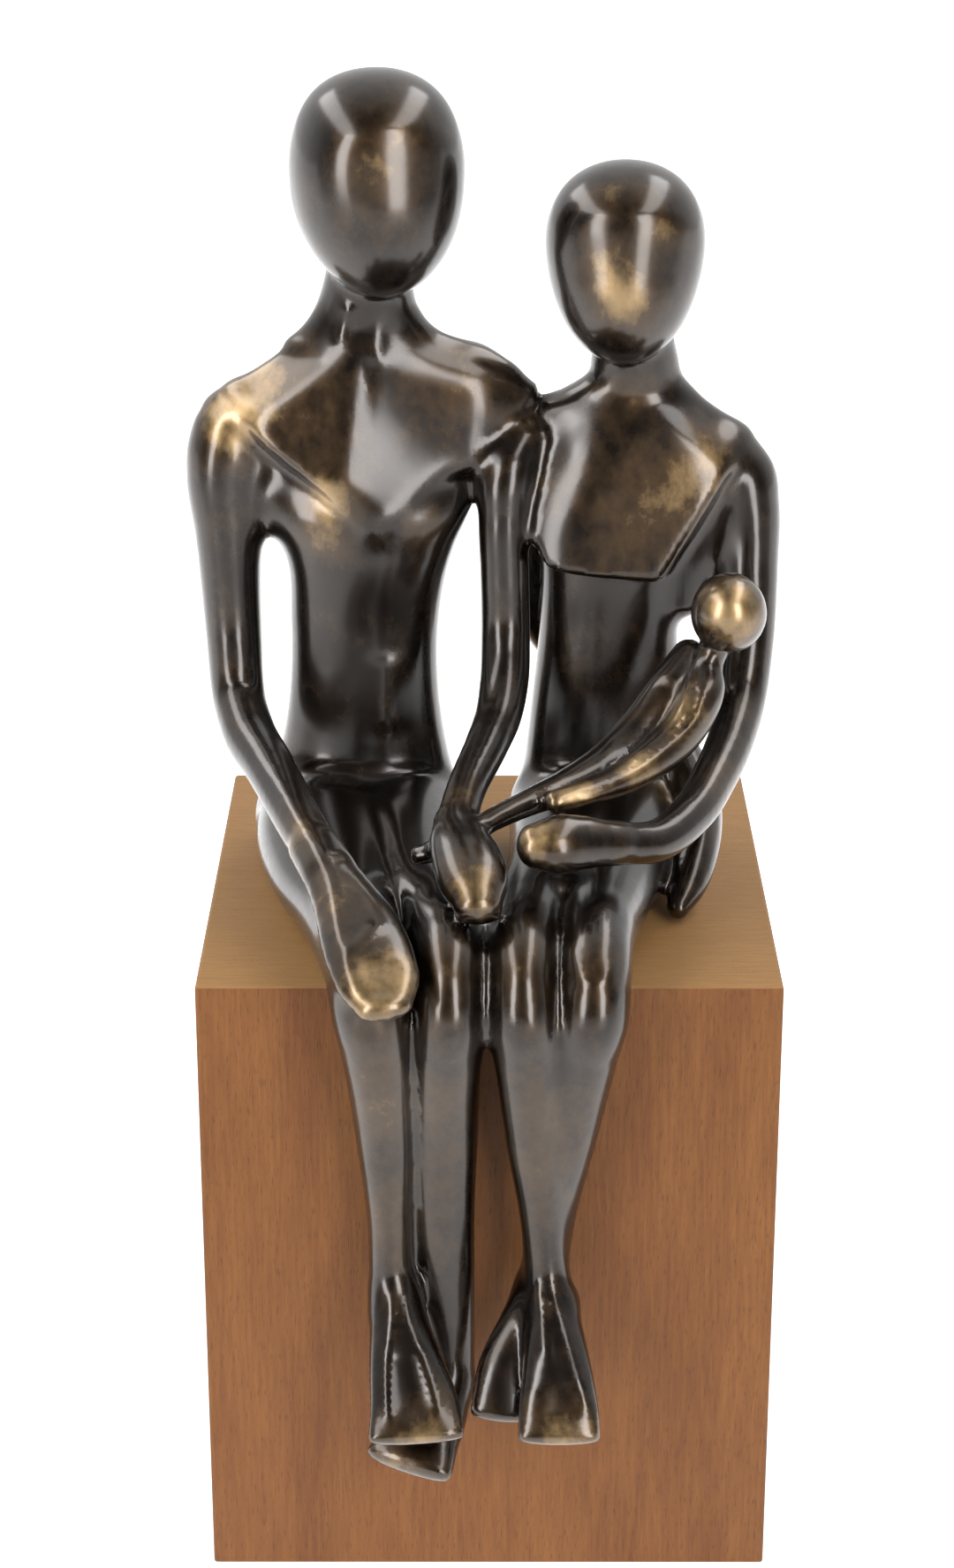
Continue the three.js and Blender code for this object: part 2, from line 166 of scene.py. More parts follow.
WOMAN_TORSO = [
    (28.5, 17.5, 146, 21.5, 15.5, 2.3),
    (28.5, 17.5, 158, 22, 16, 2.3),
    (28, 16.5, 172, 19.5, 14.5, 2.2),
    (28, 15.5, 188, 17.8, 12.5, 2.2),
    (28.5, 15.5, 210, 16.3, 12, 2.2),
    (29.5, 15, 224, 17.2, 12, 2.2),
    (31.5, 14.8, 236, 21, 11.2, 2.2),
    (33, 15, 247, 25.5, 10, 2.2),
    (32.2, 15.2, 255, 26, 8.8, 2.2),
    (31.4, 15.3, 259, 22.6, 8.2, 2.1),
    (31, 15.2, 262, 19, 8, 2),
    (32.2, 15.2, 264.5, 15.2, 8.2, 2),
    (33.3, 14.9, 267.5, 11.5, 8.6, 2),
    (33.3, 13.9, 273, 9.9, 8.8, 2),
    (32.6, 12.8, 279, 9.3, 8.9, 2),
    (31.6, 11.5, 287, 9, 9, 2),
]

WOMAN_RIGHT_ARM = [
    (7.5, 11, 253, 5.6, 6),
    (4.6, 8.5, 248, 6.8, 7.2),
    (3.4, 6, 236, 5.9, 6.4),
    (3.7, 5, 222, 5.7, 6.1),
    (3.9, 3.8, 209, 5.7, 6),
    (3.6, -1.5, 199.5, 5.7, 6),
    (2.2, -9, 193.5, 5.4, 5.5),
    (-0.3, -18, 190, 5, 5),
    (-5.2, -34, 184.7, 4.5, 4.5),
    (-7.5, -47, 181.2, 4.6, 4.4),
]

WOMAN_RIGHT_HAND = [
    (-7.8, -46, 181.5, 4.6, 4.3),
    (-6.6, -53, 180.3, 6.6, 5),
    (-4.6, -61, 177.8, 7.8, 5.6),
    (-3.2, -67, 175, 7.4, 5.6),
    (-2.6, -71, 172.5, 5.4, 4.6),
]

WOMAN_LEFT_ARM = [
    (55.5, 15, 249.5, 6.6, 7.5),
    (58.8, 14.6, 244, 7.8, 8.6),
    (60.2, 13.5, 237, 7.5, 8.2),
    (60.8, 11, 224, 6.8, 7.2),
    (60.5, 6, 206, 6.2, 6.6),
    (59, 0, 194.5, 5.8, 6.2),
    (55.6, -12, 187.7, 5.4, 5.6),
    (51.6, -23, 183.8, 5.2, 5.2),
    (45.6, -37, 180.2, 4.9, 4.9),
    (36.5, -48.5, 178, 4.7, 4.7),
    (26.5, -54.2, 180, 4.7, 4.7),
]

WOMAN_ARMPIT = [
    (50, 14, 240, 8, 7),
    (48, 13, 226, 6.5, 6),
    (46.5, 12, 214.5, 3.5, 4),
]

WOMAN_LEFT_HAND = [
    (27.5, -54, 180, 4.6, 4.7),
    (20, -57.5, 181.5, 5.2, 6),
    (13.8, -60, 182, 5.6, 6.4),
    (10, -60.5, 182, 4.6, 5),
]

WOMAN_RIGHT_LEG = [
    (17, 10, 161.5, 11.5, 11.5),
    (16, -6, 161.5, 10.8, 11.5),
    (13, -30, 161, 9.4, 11),
    (9, -54, 160.8, 8.5, 10.4),
    (7.8, -65, 160.4, 7.8, 10),
    (7.2, -74.5, 157.4, 7.4, 9.8),
    (7.4, -79, 150, 7.4, 8.8),
    (8.4, -78.5, 141.5, 7.5, 7.9),
    (10.3, -76, 118, 6.6, 6.8),
    (12, -76.5, 97, 4.9, 5.4),
    (13, -78, 86, 5, 5.2),
    (14, -80, 79, 5.8, 5.2),
]

WOMAN_LEFT_LEG = [
    (35, 10, 161.5, 12, 11.5),
    (33.2, -6, 161.5, 11.3, 11.5),
    (28.6, -30, 161, 10.2, 11),
    (24.6, -54, 160.6, 8.9, 10.4),
    (23.6, -65, 160.2, 8.3, 10),
    (23, -74.5, 156.6, 7.9, 9.8),
    (22.4, -78.3, 149, 7.8, 8.8),
    (21, -77.2, 141, 7.4, 7.8),
    (18, -73, 118, 6, 6.5),
    (15.4, -72, 102, 5, 5.3),
    (13.4, -72, 90, 4.8, 5),
    (10.5, -73.5, 78, 5, 5.2),
]

WOMAN_LAP = [
    (26, 10, 160.5, 19, 11.5, 2.6),
    (25, -10, 160.5, 17, 11.2, 2.6),
    (21, -30, 160.3, 13, 10.6, 2.5),
    (17, -46, 160, 9, 9.6, 2.4),
]

WOMAN_FRONT_FOOT = [
    (14, -80, 80, 5.6, 5.2),
    (14.6, -87, 74, 6.8, 4.8),
    (15.2, -94, 66.5, 8.2, 4, 2.3),
    (15.4, -99.5, 60.5, 9, 3, 2.6),
    (15.4, -102, 58, 9, 2.2, 2.8),
]

WOMAN_REAR_FOOT = [
    (10.8, -74.5, 80, 4.8, 5),
    (7, -80, 73, 5.2, 5),
    (3.6, -86, 66.5, 6, 4, 2.2),
    (2.2, -93, 58.5, 6.5, 2.6, 2.4),
]

BABY_BODY = [
    (52, -14, 213, 3.4, 3.4),
    (49.8, -15.5, 208.5, 3.8, 3.6),
    (48.2, -18, 203.5, 6.4, 5),
    (46.4, -21, 199.3, 6.8, 5.4),
    (42, -27, 194.2, 5.4, 5),
    (36, -33, 191, 4.2, 4.4),
    (28.8, -38.5, 188.8, 3.3, 3.8),
    (20.5, -43, 187.4, 2.8, 3.2),
    (14.5, -46, 186.6, 2.6, 2.8),
]

BABY_BACK = [
    (46, -9, 208, 6, 4),
    (41, -14, 201.5, 6.6, 5),
    (35, -20, 194, 6.4, 5.5),
    (27, -28, 189, 5, 5),
    (18, -35, 186.2, 4, 4),
    (8.5, -43, 185, 3, 3),
    (-1.7, -50, 182.4, 2.5, 2.5),
    (-9, -53, 178.4, 2.4, 2.4),
    (-15.5, -52, 176.2, 2.2, 2.2),
]

# Faceted chests: each face is its outward direction, a point on it and how far its edges are rounded
MAN_CHEST = [
    ((0.235, -0.955, 0.18), (-34, -3.5, 245), 1),
    ((-0.08, -0.96, 0.22), (-34, -3.5, 245), 0.6),
    ((0, -0.995, -0.1), (-28, -2.6, 243.5), 0.7),
    ((0.6, -0.6, -0.45), (-12.5, 2.5, 247), 2),
    ((-0.62, -0.25, -0.74), (-45, -1.5, 250.7), 1.5),
    ((-0.8, -0.6, 0), (-54, 0, 255), 4.5),
    ((-0.39, -0.7, 0.6), (-49, 4.5, 267), 2),
    ((-0.53, 0.3, 0.79), (-54.6, 10, 270.4), 3),
    ((0.3, 0, 0.95), (-20, 8, 276), 3),
    ((0, -0.2, -0.98), (-28, 0, 233), 3),
    ((0, 1, 0), (-26, 16, 250), 4),
]

MAN_LEFT_BREAST = [
    ((0.09, -1, 0.078), (-11.4, 2.7, 248.5), 1),
    ((0.75, -0.66, 0), (2, 6, 258), 4),
    ((0.3, -0.4, -0.87), (-9, 3, 246.5), 3),
    ((0.28, -0.6, 0.75), (-5, 6, 270), 3),
    ((-1, 0, 0), (-26, 5, 260), 1),
    ((0, 1, 0), (-10, 14, 260), 3),
]

WOMAN_CHEST = [
    ((0.03, -1, 0.14), (28, -2.5, 228), 1),
    ((-0.5, -0.85, 0.12), (16, -1.8, 232), 4),
    ((-0.5, -0.85, 0.49), (16, 0, 243), 4),
    ((0.4, -0.9, 0.3), (54, 1.5, 247), 3),
    ((0, -0.857, 0.514), (32, 2.2, 256), 4),
    ((0.86, -0.1, -0.51), (40.4, 0, 223.7), 2.4),
    ((-0.1, 0.1, -0.99), (27, 0, 224.6), 1.4),
    ((-0.89, 0, -0.45), (13, 0, 226.4), 1.4),
    ((-0.3, -0.3, 0.9), (6, 8, 257), 2),
    ((-1, 0, 0), (3.5, 0, 250), 2),
    ((0.6, -0.2, 0.75), (52, 6, 256), 5),
    ((0, 1, 0), (30, 14, 240), 3),
]

# Ridges and grooves: the points of their lines, their width and their height, which is below zero for grooves
RELIEF = [
    # Man's neck, and the front of it down to the breastbone
    ([(-30.9, 3.9, 287.3), (-32, 4.7, 283.2), (-33.9, 4.2, 276.9)], 1.7, 0.9),
    ([(-25.6, 4.3, 283.3), (-25.7, 4.5, 278.6), (-26.1, 3.2, 272.8)], 2.2, 0.5),
    # Belly, crease of the lap, and the thigh beside it
    ([(-23.4, 3.2, 205.3), (-23.5, 3.3, 195.4), (-23.6, 2.9, 183.4)], 3.5, 0.6),
    ([(-42.2, -3.9, 173.7), (-35.6, -3.2, 173.9), (-28.5, -4.5, 172.7)], 1.2, -0.5),
    (
        [
            (-25.6, -5, 172.6),
            (-22, -22.6, 172.4),
            (-19.6, -43.1, 171),
            (-16.8, -56.4, 168.1),
            (-14.2, -69.2, 167.4),
        ],
        3,
        0.9,
    ),
    # Right forearm and the back of the hand
    (
        [
            (-51.1, -21.6, 189.3),
            (-45.9, -37.1, 185.7),
            (-41.1, -50.6, 182.6),
            (-37, -60.7, 180.5),
            (-34.3, -66, 177.5),
            (-33.2, -72.6, 174.1),
            (-32.4, -77.8, 171.2),
            (-30.5, -85.1, 167.2),
            (-28.8, -90.7, 163.6),
            (-26.3, -95.4, 159.2),
        ],
        2,
        0.8,
    ),
    ([(-30.9, -85.3, 166.9), (-28.6, -84, 168.4), (-25.9, -81.4, 170.1), (-22, -76.8, 171.4)], 1.4, 0.6),
    ([(-23.7, -86.1, 167.3), (-22.7, -90.5, 164.6), (-22.2, -94.7, 161)], 4.5, -0.9),
    # Front foot of the man
    (
        [
            (-21.8, -82.2, 86.2),
            (-21.7, -86.1, 79.5),
            (-22.6, -92, 71.8),
            (-22.3, -98.6, 64.6),
            (-21.5, -103.3, 59.9),
        ],
        1.2,
        0.6,
    ),
    (
        [
            (-18.8, -81.3, 86.1),
            (-17.8, -86.6, 78.7),
            (-14.8, -91.3, 72.5),
            (-12.4, -96.5, 66.7),
            (-10.4, -102.4, 60.7),
        ],
        1.4,
        0.6,
    ),
    ([(-19.3, -89.9, 75), (-17.7, -94.9, 69), (-16.3, -101.8, 61.6)], 3.6, -0.7),
    ([(-22.1, -103.3, 57.6), (-14.5, -93, 50.8), (-6.7, -89.7, 48.9)], 0.8, -0.5),
    # Front foot of the woman
    ([(10.5, -82.3, 87.4), (11.8, -87.1, 80.1), (12.9, -94.9, 71.8)], 1.3, 0.6),
    (
        [
            (12.6, -82.3, 91.9),
            (15.3, -87.4, 80.3),
            (17.8, -92.5, 74.4),
            (20.1, -97.1, 68.2),
            (22, -101.7, 61.6),
        ],
        1.3,
        0.6,
    ),
    ([(15.2, -97.3, 68.7), (15.6, -99.6, 65.7), (15.9, -101.7, 62.5)], 4, -0.7),
    # Ridges along the baby's side, its hollow back and the fold between its legs
    (
        [
            (45.8, -17.2, 208.8),
            (44.5, -25, 203.4),
            (42.6, -29, 199.6),
            (38.9, -32.3, 196.6),
            (32.8, -36.8, 193.4),
            (26.7, -41.5, 191),
            (19.8, -45.3, 189.4),
            (14.5, -47, 189),
        ],
        1.1,
        0.6,
    ),
    (
        [
            (48.7, -19.2, 209.5),
            (47.9, -25, 204.5),
            (47, -27.8, 201.3),
            (44.5, -30.3, 198),
            (39.8, -33.9, 195.1),
            (33.7, -38.6, 192),
            (28.7, -42.2, 189.8),
            (21.7, -45.9, 187.1),
            (16.8, -48, 186.2),
        ],
        1.1,
        0.6,
    ),
    (
        [
            (46.5, -19.7, 207.9),
            (45.8, -26.4, 202.9),
            (44.2, -29.2, 199.7),
            (40.5, -32.5, 196.5),
            (33.8, -37.7, 192.9),
            (26.7, -42.6, 190.2),
        ],
        1,
        -0.5,
    ),
    (
        [
            (40.8, -18.1, 206.3),
            (39.7, -21, 203.1),
            (37.3, -23.9, 199.2),
            (32.2, -27.3, 195.8),
            (25.1, -32.1, 192.3),
        ],
        2.6,
        -0.9,
    ),
    ([(46.7, -15.8, 210.4), (48.4, -16.4, 212.5), (50.3, -19.7, 214.9)], 0.9, 0.5),
    ([(48.9, -18.3, 210.6), (50.9, -18.1, 211.4), (53.9, -16.6, 210.7)], 0.9, 0.5),
    # Knee of the woman's left leg
    (
        [
            (17.9, -72.4, 166.1),
            (18.5, -79.8, 162.7),
            (20.9, -84, 159.5),
            (24.3, -83.8, 160),
            (26.7, -78.8, 164.4),
        ],
        1.6,
        0.5,
    ),
]

# Places rubbed down to golden metal: x, y, z, radius and how far
RUBBED = [
    (-23.7, -14.6, 323, 11, 0.5),
    (-58.8, 5.2, 258.9, 8, 1.0),
    (-51.3, 10.5, 267.9, 9, 0.5),
    (-40.9, 3.8, 261.4, 11, 0.5),
    (-37, -0.7, 243.9, 6, 1.0),
    (-37, 1, 234, 6, 0.6),
    (-8.8, 7.7, 268.6, 11, 0.45),
    (-14.9, 1.4, 234.9, 5, 0.4),
    (29.3, -12, 290.6, 6, 1.0),
    (25.2, -12.5, 299.5, 6, 0.6),
    (27.2, -7.1, 313.9, 5, 0.5),
    (38.7, -10.3, 305.8, 5, 0.6),
    (31.5, 6.8, 264.7, 7, 0.5),
    (43.6, -0.3, 243.8, 11, 0.5),
    (30, -2, 240, 12, 0.3),
    (7.4, 9.1, 257.9, 6, 0.6),
    (51.7, 4.6, 255, 7, 0.5),
    (53.7, -22.4, 223.6, 10, 1.0),
    (43.1, -26.3, 201.8, 7, 0.9),
    (32.7, -39.2, 191.8, 6, 0.9),
    (18.8, -46.6, 188.4, 6, 0.9),
    (-41.7, -51.5, 181.9, 9, 0.5),
    (-33.2, -72.2, 173.9, 9, 0.6),
    (-23.2, -91.5, 163.9, 9, 1.0),
    (-3.7, -71.9, 177.9, 7, 0.6),
    (-6.7, -42.8, 186.9, 7, 0.45),
    (10.7, -63.4, 185.8, 6, 0.9),
    (53.3, -29.3, 185.9, 8, 0.4),
    (8.7, -80.3, 165.1, 9, 0.4),
    (23.8, -81.4, 163.5, 8, 0.35),
    (-8.4, -80.2, 165, 8, 0.35),
    (-21.8, -84.8, 131.4, 14, 0.45),
    (-22.2, -81, 101.2, 12, 0.4),
    (11.8, -82.8, 119.6, 14, 0.4),
    (-14.3, -102.8, 60.5, 8, 0.5),
    (16.7, -102.9, 60.6, 8, 0.6),
    (-20.4, -95, 46.3, 7, 0.5),
    (41, -1.5, 170.6, 6, 0.7),
]


def smooth_min(a, b, reach):
    """The lower of two fields, rounded over where they are within reach of each other."""
    reach = np.maximum(reach, 1e-6)
    close = np.maximum(reach - np.abs(a - b), 0.0) / reach
    return np.minimum(a, b) - close * close * reach / 4


def smooth_max(a, b, reach):
    return -smooth_min(-a, -b, reach)


def unit(v):
    v = np.asarray(v, float)
    return v / np.linalg.norm(v, axis=-1, keepdims=True)


def curve_through(rows, per):
    """Rows of numbers joined by a smooth curve, with per steps from each row to the next."""
    rows = np.asarray(rows, float)
    ext = np.vstack([2 * rows[0] - rows[1], rows, 2 * rows[-1] - rows[-2]])
    step = np.maximum(np.linalg.norm(np.diff(ext[:, :3], axis=0), axis=1), 1e-6)
    t = (np.arange(per) / per)[:, None]
    out = []
    for i in range(1, len(ext) - 2):
        d0, d1, d2 = step[i - 1 : i + 2]
        before, here, after = ext[i] - ext[i - 1], ext[i + 1] - ext[i], ext[i + 2] - ext[i + 1]
        m1 = (before / d0 * d1 + here / d1 * d0) / (d0 + d1) * d1
        m2 = (here / d1 * d2 + after / d2 * d1) / (d1 + d2) * d1
        out.append(
            (2 * t**3 - 3 * t**2 + 1) * ext[i]
            + (t**3 - 2 * t**2 + t) * m1
            + (3 * t**2 - 2 * t**3) * ext[i + 1]
            + (t**3 - t**2) * m2
        )
    out.append(ext[-2:-1])
    return np.vstack(out)


def six(rows):
    """Sections with the power of a plain ellipse filled in."""
    return np.array([tuple(row) + (2.0,) * (6 - len(row)) for row in rows], float)


def section_distance(x, y, over, a, b, power, cap):
    """About how far a point is from a superellipse of half sizes a and b whose end is rounded over by cap."""
    x = np.maximum(np.abs(x) / a, 1e-6)
    y = np.maximum(np.abs(y) / b, 1e-6)
    z = np.abs(over) / cap
    k = (x**power + y**power) ** (1 / power)
    level = np.sqrt(k * k + z * z)
    slope_x = k ** (2 - power) * x ** (power - 1) / a
    slope_y = k ** (2 - power) * y ** (power - 1) / b
    slope = np.sqrt(slope_x**2 + slope_y**2 + (z / cap) ** 2) / np.maximum(level, 1e-6)
    return np.maximum((level - 1) / np.maximum(slope, 1e-6), -np.minimum(a, b))


def nearest_on_path(path, q):
    """For each point the segment of the path that it is nearest to, and how far along it, unclipped."""
    to_nodes = (path * path).sum(1)[None] - 2 * (q @ path.T)
    node = np.argmin(to_nodes, axis=1)
    last = len(path) - 1
    ahead = path[np.minimum(node + 1, last)] - path[np.maximum(node - 1, 0)]
    past = ((q - path[node]) * ahead).sum(1) >= 0
    index = np.clip(np.where(past, node, node - 1), 0, last - 1)
    along = path[index + 1] - path[index]
    length = np.linalg.norm(along, axis=1)
    t = ((q - path[index]) * along).sum(1) / length**2
    return index, t, length


class Sweep:
    """A limb as sections along a smooth path."""

    def __init__(self, rows, side=ACROSS, blend=3.0, cap=0.9, per=8):
        fine = curve_through(six(rows), per)
        self.path = fine[:, :3]
        self.shape = fine[:, 3:]
        self.blend = blend
        self.cap = cap
        tangent = unit(np.gradient(self.path, axis=0))
        side = np.asarray(side, float)
        self.side = unit(side - (tangent @ side)[:, None] * tangent)
        self.through = np.cross(tangent, self.side)
        size = self.shape[:, :2].max(1)[:, None]
        self.low = (self.path - size).min(0)
        self.high = (self.path + size).max(0)

    def __call__(self, q):
        index, t, length = nearest_on_path(self.path, q)
        inside = np.clip(t, 0, 1)
        first = (index == 0) & (t < 0)
        last = (index == len(self.path) - 2) & (t > 1)
        over = np.where(first | last, (t - inside) * length, 0.0)
        w = inside[:, None]
        mix = lambda rows: rows[index] * (1 - w) + rows[index + 1] * w
        v = q - mix(self.path)
        shape = mix(self.shape)
        x = (v * mix(self.side)).sum(1)
        y = (v * mix(self.through)).sum(1)
        cap = np.minimum(shape[:, 0], shape[:, 1]) * self.cap
        return section_distance(x, y, over, shape[:, 0], shape[:, 1], shape[:, 2], cap)


class Pillar:
    """A torso: level sections stacked along a path that only climbs."""

    def __init__(self, rows, blend=3.0, per=10):
        fine = curve_through(six(rows), per)
        self.z = fine[:, 2]
        self.columns = [fine[:, i] for i in (0, 1, 3, 4, 5)]
        self.blend = blend
        self.low = np.array([(fine[:, 0] - fine[:, 3]).min(), (fine[:, 1] - fine[:, 4]).min(), self.z[0]])
        self.high = np.array([(fine[:, 0] + fine[:, 3]).max(), (fine[:, 1] + fine[:, 4]).max(), self.z[-1]])

    def level(self, x, y, z):
        cx, cy, a, b, power = (np.interp(z, self.z, column) for column in self.columns)
        u = np.maximum(np.abs(x - cx) / a, 1e-6)
        v = np.maximum(np.abs(y - cy) / b, 1e-6)
        return (u**power + v**power) ** (1 / power)

    def __call__(self, q):
        x, y, z = q.T
        e = 0.3
        here = self.level(x, y, z)
        slope_x = (self.level(x + e, y, z) - here) / e
        slope_y = (self.level(x, y + e, z) - here) / e
        slope_z = (self.level(x, y, z + e) - here) / e
        slope = np.sqrt(slope_x**2 + slope_y**2 + slope_z**2)
        distance = np.clip((here - 1) / np.maximum(slope, 1e-3), -8, FAR)
        return smooth_max(distance, np.maximum(z - self.z[-1], self.z[0] - z), 2)


class Egg:
    """A head: an ellipsoid whose width grows with height, above the middle and below it by the height and its
    cube, and whose chin comes forward.

    Its face is shaved below the brow to an upright barrel, whose half depth is given at mid height, as a share of
    the head's, with its loss per unit of height.
    """

    def __init__(
        self,
        middle,
        half,
        growth=((0, 0), (0, 0)),
        face=(0, -1, 0),
        chin=0.0,
        power=2.1,
        shaved=None,
        blend=3.0,
    ):
        self.middle = np.asarray(middle, float)
        self.half = half
        self.growth = growth
        self.chin = chin
        self.power = power
        self.shaved = shaved
        self.blend = blend
        self.up = unit((0, -0.04, 1))
        face = np.asarray(face, float)
        self.face = unit(face - (face @ self.up) * self.up)
        self.across = np.cross(self.face, self.up)
        size = max(half) * 1.3
        self.low = self.middle - size
        self.high = self.middle + size

    def __call__(self, q):
        v = q - self.middle
        wide, deep, tall = self.half
        z = v @ self.up / tall
        height = np.clip(z, -1.2, 1.2)
        above, below = (first * height + third * height**3 for first, third in self.growth)
        a = wide * (1 + np.where(height > 0, above, below))
        b = deep * (1 + 0.1 * height + 0.1 * height**3)
        across = v @ self.across
        forward = v @ self.face - self.chin * np.clip(-height, 0, 1.2) ** 2
        head = section_distance(across, forward, z * tall, a, b, self.power, tall)
        if self.shaved is None:
            return head
        depth, loss, power = self.shaved
        front = section_distance(across, forward, 0, a * 1.05, deep * (depth - loss * height), power, tall)
        front = np.where(forward > 0, front, -FAR)
        return smooth_max(head, front, 1.2 + 5 * np.clip(-height, 0, 1))


class Stroke:
    """A ridge, or with a height below zero a groove, along a line on the skin."""

    def __init__(self, line, width, height):
        self.path = curve_through(line, 6)
        self.width = width
        self.height = height
        self.blend = 0.0
        self.low = self.path.min(0) - 2.2 * width
        self.high = self.path.max(0) + 2.2 * width

    def __call__(self, q):
        index, t, _ = nearest_on_path(self.path, q)
        inside = np.clip(t, 0, 1)[:, None]
        nearest = self.path[index] * (1 - inside) + self.path[index + 1] * inside
        square = ((q - nearest) ** 2).sum(1)
        along = (index + inside[:, 0]) / (len(self.path) - 1)
        fade = np.clip(np.minimum(along, 1 - along) * 5, 0, 1)
        return self.height * fade * fade * (3 - 2 * fade) * np.exp(-square / self.width**2)


class Facets:
    """A lump bounded by flat faces with rounded edges."""

    def __init__(self, faces, middle, size, blend=2.0):
        self.normals = unit([face[0] for face in faces])
        self.reach = (self.normals * np.array([face[1] for face in faces], float)).sum(1)
        self.edges = [face[2] for face in faces]
        self.blend = blend
        self.low = np.asarray(middle, float) - size
        self.high = np.asarray(middle, float) + size

    def __call__(self, q):
        sides = q @ self.normals.T - self.reach
        out = sides[:, 0]
        for k in range(1, sides.shape[1]):
            out = smooth_max(out, sides[:, k], self.edges[k])
        return out


PARTS = [
    Pillar(MAN_TORSO, blend=0),
    Sweep(MAN_RIGHT_ARM, blend=9),
    Sweep(MAN_LEFT_ARM, blend=9),
    Facets(MAN_CHEST, (-27, 8, 255), 36, blend=4),
    Facets(MAN_LEFT_BREAST, (-10, 8, 258), 26, blend=1.5),
    Sweep(MAN_RIGHT_HAND, blend=2),
    Sweep(MAN_RIGHT_LEG, blend=6),
    Sweep(MAN_LEFT_LEG, blend=2.5),
    Sweep(MAN_LAP, blend=7),
    Sweep(MAN_FRONT_FOOT, blend=3, cap=0.6),
    Sweep(MAN_REAR_FOOT, side=(1, 0.25, 0.15), blend=2.5, cap=0.6),
    Pillar(WOMAN_TORSO, blend=3),
    Facets(WOMAN_CHEST, (30, 8, 240), 36, blend=2),
    Sweep(WOMAN_RIGHT_ARM, blend=3.5),
    Sweep(WOMAN_RIGHT_HAND, blend=1),
    Sweep(WOMAN_LEFT_ARM, blend=5),
    Sweep(WOMAN_ARMPIT, blend=6),
    Sweep(WOMAN_RIGHT_LEG, blend=5),
    Sweep(WOMAN_LEFT_LEG, blend=4),
    Sweep(WOMAN_LAP, blend=5),
    Sweep(WOMAN_FRONT_FOOT, blend=3, cap=0.6),
    Sweep(WOMAN_REAR_FOOT, blend=2.5, cap=0.6),
    Sweep(WOMAN_LEFT_HAND, side=(0, -1, 0.4), blend=1.5),
    Sweep(BABY_BACK, side=(0.55, 0, 0.83), blend=2),
    Sweep(BABY_BODY, side=(0.55, 0, 0.83), blend=1.5),
    Egg(
        (-25, 6, 314.3),
        (19.3, 21, 24.8),
        growth=((0.09, 0.2), (0.02, 0.03)),
        face=(0.28, -1, -0.1),
        chin=5,
        shaved=(0.935, 0.09, 2.1),
        blend=2.5,
    ),
    Egg(
        (30.4, 6, 296.4),
        (17.6, 19, 22.4),
        growth=((0.19, 0.07), (0.1, -0.03)),
        face=(-0.03, -1, -0.1),
        chin=4,
        shaved=(0.925, 0.09, 1.8),
        blend=2.5,
    ),
    Egg((54.4, -14, 219.9), (8.6, 8.8, 9.2), power=2, blend=1),
]

STROKES = [Stroke(*stroke) for stroke in RELIEF]

BLOCK_SPACE = Facets(
    [
        ((0, 0, 1), (0, 0, BLOCK_HEIGHT + SEAT_GAP), 0.4),
        ((0, -1, 0), (0, -BLOCK_DEPTH / 2 - LEG_GAP, 0), 0.4),
        ((0, 1, 0), (0, BLOCK_DEPTH / 2 + 20, 0), 0.4),
    ],
    (0, 0, 75),
    200,
)


def near_to(q, part, margin):
    return np.flatnonzero(np.all((q > part.low - margin) & (q < part.high + margin), axis=1))


def casting(q, margin=3.0):
    """Distance from the casting's skin, below zero inside it."""
    out = np.full(len(q), FAR)
    for part in PARTS:
        near = near_to(q, part, margin + part.blend)
        if len(near):
            out[near] = smooth_min(out[near], part(q[near]), part.blend)
    for stroke in STROKES:
        near = near_to(q, stroke, 0)
        if len(near):
            out[near] -= stroke(q[near])
    return smooth_max(out, -BLOCK_SPACE(q), 0.4)


KIDS = np.array([[i, j, k] for i in (0, 1) for j in (0, 1) for k in (0, 1)])
CELL_EDGES = [(0, 1), (2, 3), (4, 5), (6, 7), (0, 2), (1, 3), (4, 6), (5, 7), (0, 4), (1, 5), (2, 6), (3, 7)]


def cells_at_skin(low, high, cell, levels=3):
    """The grid cells that the skin may pass through, found from coarse to fine."""
    size = cell * 2**levels
    counts = np.ceil((high - low) / size).astype(int)
    cells = np.stack(np.meshgrid(*[np.arange(n) for n in counts], indexing="ij"), -1).reshape(-1, 3)
    for _ in range(levels):
        distance = casting(low + (cells + 0.5) * size, margin=size + 3)
        cells = cells[np.abs(distance) < size * 1.3 + 2.0]
        cells = (cells[:, None] * 2 + KIDS[None]).reshape(-1, 3)
        size /= 2
    distance = casting(low + (cells + 0.5) * size)
    return cells[np.abs(distance) < size * 1.3 + 0.3]


